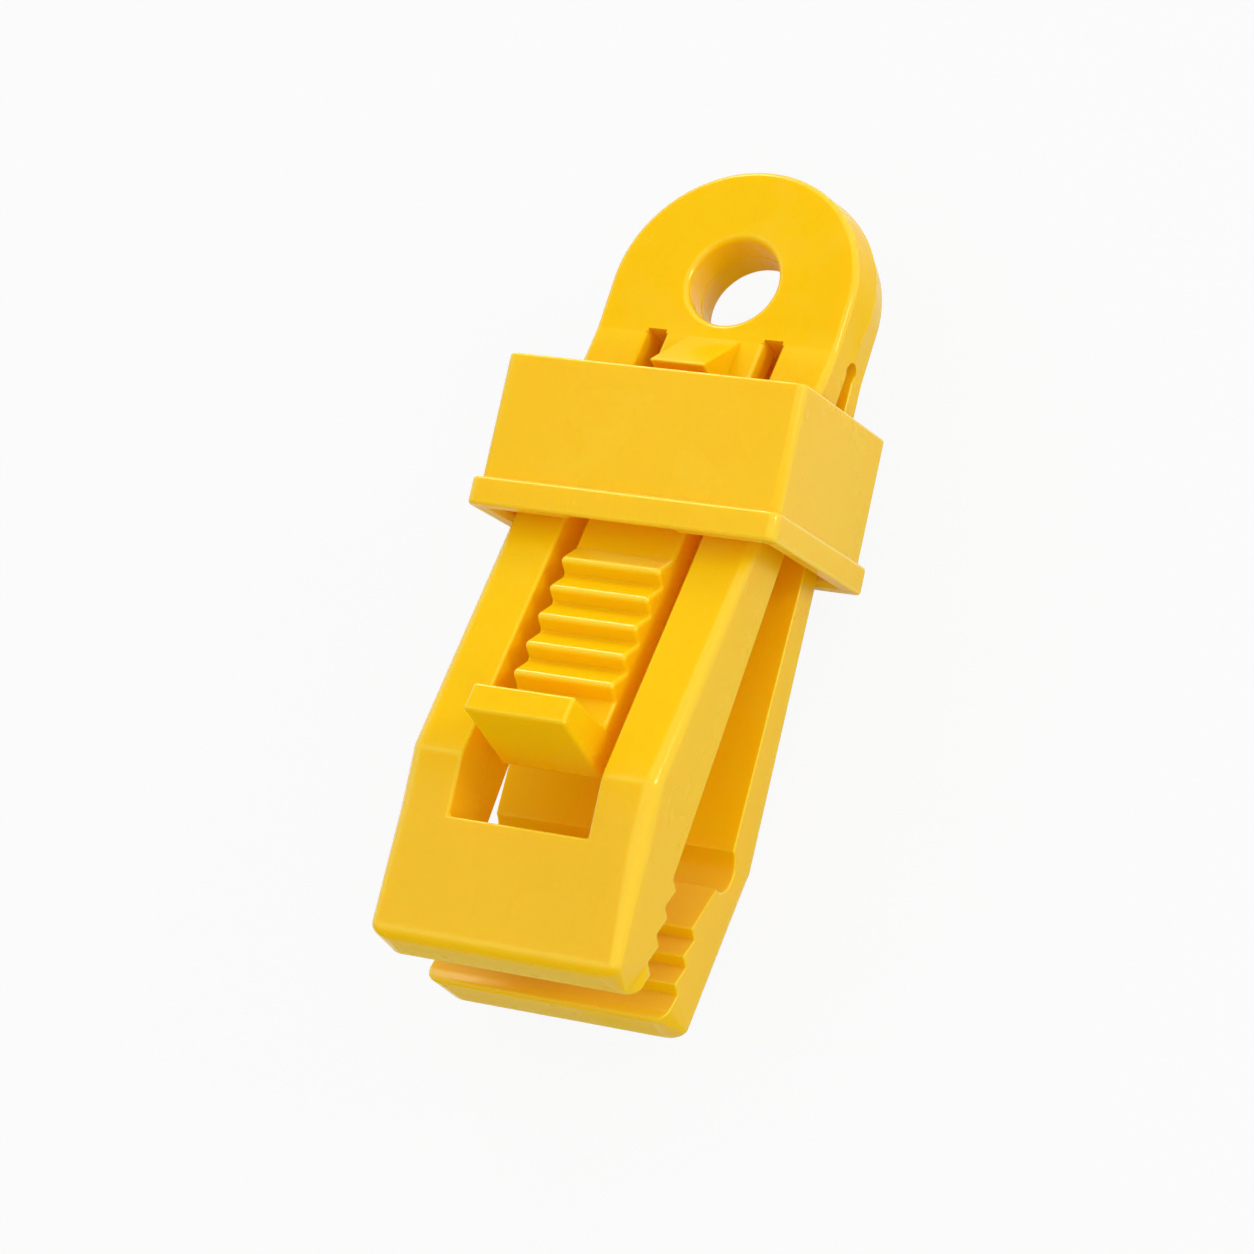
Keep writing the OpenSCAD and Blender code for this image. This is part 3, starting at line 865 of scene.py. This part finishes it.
# Strengths
EDGE_HIGHLIGHT_SHARE = 0.55               # how far rounded edges turn to the painted highlight tint
DULL_SHARE = 0.75               # how far the handled end turns to the dull tint
SIDE_SHARE = 0.2                # how much of that is left on the sides
SPECK_SHARE = 0.7               # how dark the specks are
SMOOTH = 0.24, 0.3              # roughness in the two flow tints
MIST_ROUGH, SCRATCH_ROUGH = 0.16, 0.2   # roughness that haze and scratches add
EDGE_SMOOTH = 0.1               # roughness that rounded edges lose
GLEAM = 0.18, 0.8               # specular level on flat faces and on rounded edges
LOW_GLEAM = 0.1                 # share of it that is left on faces that look down the clip
BUMP, SCRATCH_BUMP = 0.06, 0.2  # strength of the skin's ripples and sinks, and of scratches
PEEL_DEPTH, SINK_DEPTH, SCRATCH_DEPTH = 0.05 * MM, 0.5 * MM, 0.03 * MM
GLOW, GLOW_DEPTH = 0.7, 1.6 * MM        # share and depth of the light that scatters inside the plastic
GLOW_SPREAD = 1, 0.45, 0.05     # how far red, green and blue light scatter
dull_fade = knee_y + 3 * MM, knee_y - 5 * MM    # heights between which the handled end begins


# Materials

def add(tree, kind, inputs=None, **settings):
    """A new shader node with its settings, and its inputs set or linked."""
    made = tree.nodes.new("ShaderNode" + kind)
    for key, value in settings.items():
        setattr(made, key, value)
    for key, value in (inputs or {}).items():
        if isinstance(value, bpy.types.NodeSocket):
            tree.links.new(value, made.inputs[key])
        else:
            made.inputs[key].default_value = value
    return made


def noise(tree, at, scale, detail=3.0, rough=0.5, turned=(0, 0, 0), stretched=None):
    """Cloud noise from 0 to 1 with about scale clouds to the metre."""
    if stretched:
        at = add(tree, "Mapping", {"Vector": at, "Rotation": turned, "Scale": stretched}).outputs[0]
    inputs = {"Vector": at, "Scale": scale, "Detail": detail, "Roughness": rough}
    return add(tree, "TexNoise", inputs).outputs[0]


def between(tree, value, low, high, start=0.0, end=1.0):
    """Smooth step of a value from start at low to end at high."""
    inputs = {"Value": value, "From Min": low, "From Max": high, "To Min": start, "To Max": end}
    return add(tree, "MapRange", inputs, interpolation_type="SMOOTHSTEP").outputs[0]


def maths(tree, operation, a, b=0.0):
    return add(tree, "Math", {0: a, 1: b}, operation=operation).outputs[0]


def times(tree, *factors):
    product = factors[0]
    for factor in factors[1:]:
        product = maths(tree, "MULTIPLY", product, factor)
    return product


def split(tree, vector):
    """X, Y and Z of a vector."""
    return add(tree, "SeparateXYZ", {0: vector}).outputs


def blend_colour(tree, share, a, b):
    """Colour a turning into colour b by share."""
    def full(c):
        return c if isinstance(c, bpy.types.NodeSocket) else (*c, 1)
    return add(tree, "Mix", {0: share, 6: full(a), 7: full(b)}, data_type="RGBA").outputs[2]


def away_from(tree, at, heights):
    """0 at the given heights along the clip, where two pieces meet, rising to 1 beyond them."""
    y = split(tree, at)[1]
    gaps = [maths(tree, "ABSOLUTE", maths(tree, "SUBTRACT", y, height)) for height in heights]
    return times(tree, *(between(tree, gap, *SEAM_FADE) for gap in gaps))


def handled(tree, at, facing, upper, stretch):
    """Share of the dull tint: it comes in over a stretch of heights, on faces that hands rub."""
    lower = between(tree, split(tree, at)[1], *stretch, 0.0, DULL_SHARE)
    sideways = between(tree, maths(tree, "ABSOLUTE", facing[0]), *SIDE_FADE, 1.0, SIDE_SHARE)
    return times(tree, lower, upper, sideways)


def scratches(tree, at, facing):
    """1 on fine lines in worn patches of the front and rear faces, 0 elsewhere. The lines run where noise
    passes its middle."""
    lines = [maths(tree, "SUBTRACT", noise(tree, at, turned=turn, **SCRATCH), 0.5) for turn in SCRATCH_TURNS]
    thin = [between(tree, maths(tree, "ABSOLUTE", line), *SCRATCH_FADE, 1.0, 0.0) for line in lines]
    worn = between(tree, noise(tree, at, **WORN), *WORN_FADE)
    level = between(tree, maths(tree, "ABSOLUTE", facing[2]), *LEVEL_FADE)
    return times(tree, maths(tree, "MAXIMUM", *thin), worn, level)


def specks(tree, at):
    """1 on rare small specks, 0 elsewhere."""
    cells = add(tree, "TexVoronoi", {"Vector": at, "Scale": SPECK_CELLS}).outputs
    pick = add(tree, "SeparateColor", {0: cells["Color"]}).outputs[0]
    dot = between(tree, cells["Distance"], *SPECK_FADE, 1.0, 0.0)
    return times(tree, dot, between(tree, pick, *RARE_FADE))


def skin(tree, at, scratch, scuffs):
    """Normals of the moulded skin: fine ripples, broad sinks and scratches."""
    peel = add(tree, "Bump", {"Height": noise(tree, at, **PEEL), "Strength": BUMP, "Distance": PEEL_DEPTH})
    sink = add(tree, "Bump", {"Height": noise(tree, at, **SINK), "Strength": BUMP, "Distance": SINK_DEPTH,
                              "Normal": peel.outputs[0]})
    groove = add(tree, "Bump", {"Height": scratch, "Strength": SCRATCH_BUMP * scuffs,
                                "Distance": SCRATCH_DEPTH, "Normal": sink.outputs[0]}, invert=True)
    return groove.outputs[0]


def moulded_plastic(name, tints, haze, scuffs, seams=(), dull=None):
    """Glossy translucent plastic: flow clouds, hazy patches, fine scuffs, specks and a painted highlight on
    its rounded edges.
    Its handled end is duller, which comes in between the two heights in dull."""
    mat = bpy.data.materials.new(name)
    mat.use_nodes = True
    tree = mat.node_tree
    shader = tree.nodes["Principled BSDF"].inputs
    at = add(tree, "TexCoord").outputs["Object"]
    facing = split(tree, add(tree, "NewGeometry").outputs["True Normal"])
    upper = between(tree, facing[1], *UPPER_FADE)
    edge = add(tree, "Attribute", attribute_name=EDGE_SHARE).outputs["Fac"]
    flow = between(tree, noise(tree, at, **FLOW), *FLOW_FADE)
    mist = times(tree, between(tree, noise(tree, at, **MIST), *MIST_FADE),
                 between(tree, noise(tree, at, **PATCHES), *PATCH_FADE))
    scratch = scratches(tree, at, facing)

    tint = blend_colour(tree, flow, *tints)
    tint = blend_colour(tree, times(tree, mist, haze), tint, PALE)
    if dull:
        tint = blend_colour(tree, handled(tree, at, facing, upper, dull), tint, DULL)
    # painted highlight: rounded edges lightened towards a brighter yellow, left off faces that look down the
    # clip
    tint = blend_colour(tree, times(tree, edge, upper, EDGE_HIGHLIGHT_SHARE), tint, EDGE_HIGHLIGHT_PAINT)
    tint = blend_colour(tree, times(tree, scratch, scuffs), tint, PALE)
    tint = blend_colour(tree, times(tree, specks(tree, at), SPECK_SHARE), tint, SPECK)
    tree.links.new(tint, shader["Base Color"])

    rough = maths(tree, "ADD", times(tree, mist, MIST_ROUGH), between(tree, flow, 0, 1, *SMOOTH))
    rough = maths(tree, "ADD", rough, times(tree, scratch, SCRATCH_ROUGH * scuffs))
    rough = maths(tree, "SUBTRACT", rough, times(tree, edge, EDGE_SMOOTH))
    tree.links.new(rough, shader["Roughness"])
    tree.links.new(skin(tree, at, scratch, scuffs), shader["Normal"])
    gleam = times(tree, between(tree, edge, 0, 1, *GLEAM), between(tree, upper, 0, 1, LOW_GLEAM, 1.0))
    tree.links.new(gleam, shader["Specular IOR Level"])
    tree.links.new(blend_colour(tree, edge, GLINT, EDGE_GLINT), shader["Specular Tint"])

    shader["Subsurface Weight"].default_value = GLOW
    if seams:
        tree.links.new(times(tree, away_from(tree, at, seams), GLOW), shader["Subsurface Weight"])
    shader["Subsurface Radius"].default_value = GLOW_SPREAD
    shader["Subsurface Scale"].default_value = GLOW_DEPTH
    return mat


collar_mat = moulded_plastic("collar_plastic_look", (COLLAR_YELLOW, COLLAR_AMBER), haze=0.6, scuffs=0.7)
body_mat = moulded_plastic("body_plastic_look", (YELLOW, AMBER), haze=0.2, scuffs=0.12,
                           seams=(crease_y,), dull=dull_fade)
strip_mat = moulded_plastic("tongue_plastic_look", (YELLOW, AMBER), haze=0.2, scuffs=0.06,
                            seams=(crease_y, split_y))
looks = {"collar": collar_mat, "tongue": strip_mat, "root": strip_mat}
for name, obj in pieces.items():
    obj.data.materials.clear()
    obj.data.materials.append(looks.get(name, body_mat))


# Camera, light and floor

CAMERA_ANGLES = -34.7626, 56.2146, -42.2430     # azimuth, elevation and roll in degrees
CAMERA_AIM = Vector((-1.5606, -29.3789, 0)) * MM    # from the middle of the crease
CAMERA_DISTANCE = 425.93 * MM
CAMERA_LENS, CAMERA_SENSOR = 128.15, 36         # focal length and sensor width in millimetres
CAMERA_RANGE = 0.05, 5.0                        # nearest and farthest distance that it shows
LAMPS = {                                       # place and watts of each
    "side": ((0.6, 0.22, 0.34), 0.95),
    "top": ((-0.33, 0.58, 0.28), 0.6),
    "front": ((0.36, -0.3, 0.45), 0.35),
}
LAMP_SIZE, LAMP_AIM = 0.2, Vector((0, 0, 0.012))
AMBIENT = 0.67, 1.06                            # soft light from the jaws' end and from the head's end
BOUNCES = 24                                    # light goes far between the pale walls of slots and window
FLOOR_RADIUS = 3.0
FLOOR_GREY = 0.55                               # the floor as it takes shadow and lights the clip
FLOOR_WHITE = 0.92                              # share of plain white in the floor as it is seen


def camera():
    """Camera at the photograph's viewing angle."""
    azimuth, elevation, roll = (radians(angle) for angle in CAMERA_ANGLES)
    back = Vector((cos(elevation) * cos(azimuth), cos(elevation) * sin(azimuth), sin(elevation)))
    level = Vector((-sin(azimuth), cos(azimuth), 0))
    right = level * cos(roll) + back.cross(level) * sin(roll)
    turn = Matrix((right, back.cross(right), back)).transposed().to_4x4()
    place = Vector((0, crease_y, mid_z)) + CAMERA_AIM + back * CAMERA_DISTANCE
    data = bpy.data.cameras.new("camera")
    data.lens, data.sensor_width = CAMERA_LENS, CAMERA_SENSOR
    data.clip_start, data.clip_end = CAMERA_RANGE
    obj = placed("camera", data)
    obj.matrix_world = Matrix.Translation(place) @ turn
    bpy.context.scene.camera = obj


def lamp(name, place, watts):
    """Round soft lamp that points at the clip."""
    data = bpy.data.lights.new(name, "AREA")
    data.shape, data.size, data.energy = "DISK", LAMP_SIZE, watts
    obj = placed(name, data)
    obj.location = place
    obj.rotation_mode = "QUATERNION"
    obj.rotation_quaternion = (LAMP_AIM - Vector(place)).to_track_quat("-Z", "Y")


def in_sight(tree):
    """1 for rays that show or mirror the surroundings, 0 for rays that carry light to the clip."""
    path = add(tree, "LightPath").outputs
    seen = maths(tree, "MAXIMUM", path["Is Camera Ray"], path["Is Glossy Ray"])
    return maths(tree, "MAXIMUM", seen, path["Is Transmission Ray"])


def floor():
    """Floor that is seen and mirrored as nearly plain white and still takes the clip's shadow."""
    bm = bmesh.new()
    bmesh.ops.create_circle(bm, cap_ends=True, segments=FLOOR_STEPS, radius=FLOOR_RADIUS)
    obj = new_object("floor", bm)
    mat = bpy.data.materials.new("floor_white")
    mat.use_nodes = True
    tree = mat.node_tree
    tree.nodes.remove(tree.nodes["Principled BSDF"])
    grey = add(tree, "BsdfDiffuse", {"Color": (FLOOR_GREY, FLOOR_GREY, FLOOR_GREY, 1)})
    white = add(tree, "Emission", {"Strength": 1})
    share = times(tree, in_sight(tree), FLOOR_WHITE)
    mix = add(tree, "MixShader", {0: share, 1: grey.outputs[0], 2: white.outputs[0]})
    tree.links.new(mix.outputs[0], tree.nodes["Material Output"].inputs["Surface"])
    obj.data.materials.append(mat)


def world():
    """Soft light from all round, strongest from the head's end, seen and mirrored as plain white."""
    studio = bpy.data.worlds.new("studio")
    studio.use_nodes = True
    tree = studio.node_tree
    background = tree.nodes["Background"].inputs
    background["Color"].default_value = (1, 1, 1, 1)
    seen = in_sight(tree)
    toward = split(tree, add(tree, "TexCoord").outputs["Generated"])[1]
    soft = between(tree, toward, -1.0, 1.0, *AMBIENT)
    light = maths(tree, "MAXIMUM", seen, times(tree, soft, maths(tree, "SUBTRACT", 1.0, seen)))
    tree.links.new(light, background["Strength"])
    bpy.context.scene.world = studio


camera()
for name, (place, watts) in LAMPS.items():
    lamp(name, place, watts)
floor()
world()
bpy.context.scene.cycles.diffuse_bounces = BOUNCES
bpy.context.scene.cycles.max_bounces = BOUNCES
bpy.context.scene.view_settings.view_transform = "Standard"
